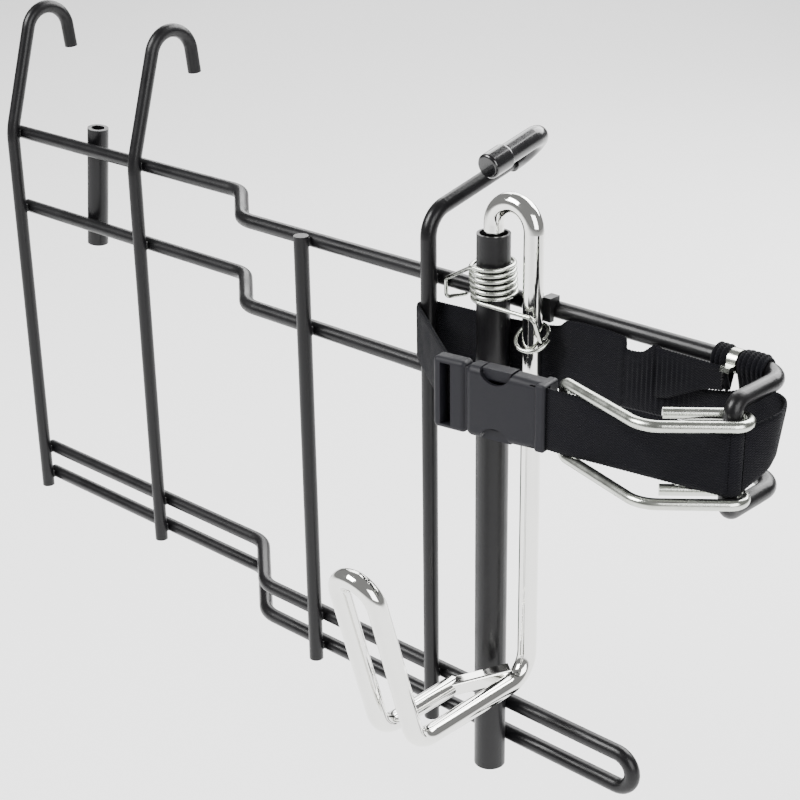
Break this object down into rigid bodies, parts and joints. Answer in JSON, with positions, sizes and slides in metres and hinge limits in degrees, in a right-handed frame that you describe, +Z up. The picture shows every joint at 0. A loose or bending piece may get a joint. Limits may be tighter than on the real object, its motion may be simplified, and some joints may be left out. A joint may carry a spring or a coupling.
{
  "type": "folding luggage rack",
  "caption": "Black wire luggage rack that hangs from a rail by hooks, with a sprung chrome swing-out foot, a webbing strap with a side-release buckle and a zinc wire bail.",
  "frame": {"origin": "axis of the carried round rail, midway between the two hooks", "axes": "+X along the rack towards the strap end, +Y back towards the rail side, +Z up"},
  "size_m": [0.5969, 0.2071, 0.3333],
  "materials": {
    "black_enamel": "satin black stoved enamel on steel rod",
    "black_vinyl": "glossy dipped vinyl",
    "bush_nylon": "natural nylon",
    "chrome_arm": "bright chrome plate",
    "zinc_wire": "bright zinc plate",
    "black_plastic": "fine-grained black acetal",
    "black_webbing": "woven webbing"
  },
  "bodies": {
    "frame": {"hook_rod_left": "black_enamel", "hook_rod_right": "black_enamel", "short_upright": "black_enamel", "clip_rod": "black_enamel", "upper_rail_loop": "black_enamel", "lower_rail_loop": "black_enamel", "accessory_socket": "black_enamel", "pivot_tube": "black_enamel", "arm_stop": "black_enamel", "clip_sleeve": "black_vinyl", "clip_end_cap": "black_vinyl", "upper_bush": "bush_nylon", "lower_bush": "bush_nylon", "strap_front": "black_webbing", "strap_return": "black_webbing", "strap_rear": "black_webbing", "strap_buckle_run": "black_webbing", "strap_gather_left": "black_webbing", "strap_gather_right": "black_webbing", "spring_coil": "zinc_wire", "spring_frame_leg": "zinc_wire", "strap_clamp": "zinc_wire", "buckle_female": "black_plastic", "buckle_male": "black_plastic"},
    "arm": {"swing_arm": "chrome_arm", "foot_tie": "chrome_arm", "spindle_retainer": "zinc_wire", "spring_arm_leg": "zinc_wire"},
    "bail": {"bail": "zinc_wire"},
    "prong_upper": {"buckle_prong_upper": "black_plastic"},
    "prong_lower": {"buckle_prong_lower": "black_plastic"}
  },
  "joints": [
    {"name": "arm_swing", "type": "hinge", "parent": "frame", "child": "arm", "pos_m": [0.3735, -0.07343, -0.16764], "axis": [0, 0, 1], "range_deg": [-78, 0], "stiffness_Nm_per_rad": 0.38, "springref_deg": 25.78, "deforming": ["spring_coil"]},
    {"name": "bail_swing", "type": "hinge", "parent": "frame", "child": "bail", "pos_m": [0.5227, -0.10103, -0.08554], "axis": [0, 0, 1], "range_deg": [-28, 0]},
    {"name": "upper_prong_press", "type": "hinge", "parent": "frame", "child": "prong_upper", "pos_m": [0.40509, -0.11989, -0.07259], "axis": [-0.1521, 0.9884, 0], "range_deg": [0, 8], "stiffness_Nm_per_rad": 0.6},
    {"name": "lower_prong_press", "type": "hinge", "parent": "frame", "child": "prong_lower", "pos_m": [0.40509, -0.11989, -0.09849], "axis": [0.1521, -0.9884, 0], "range_deg": [0, 8], "stiffness_Nm_per_rad": 0.6}
  ]
}
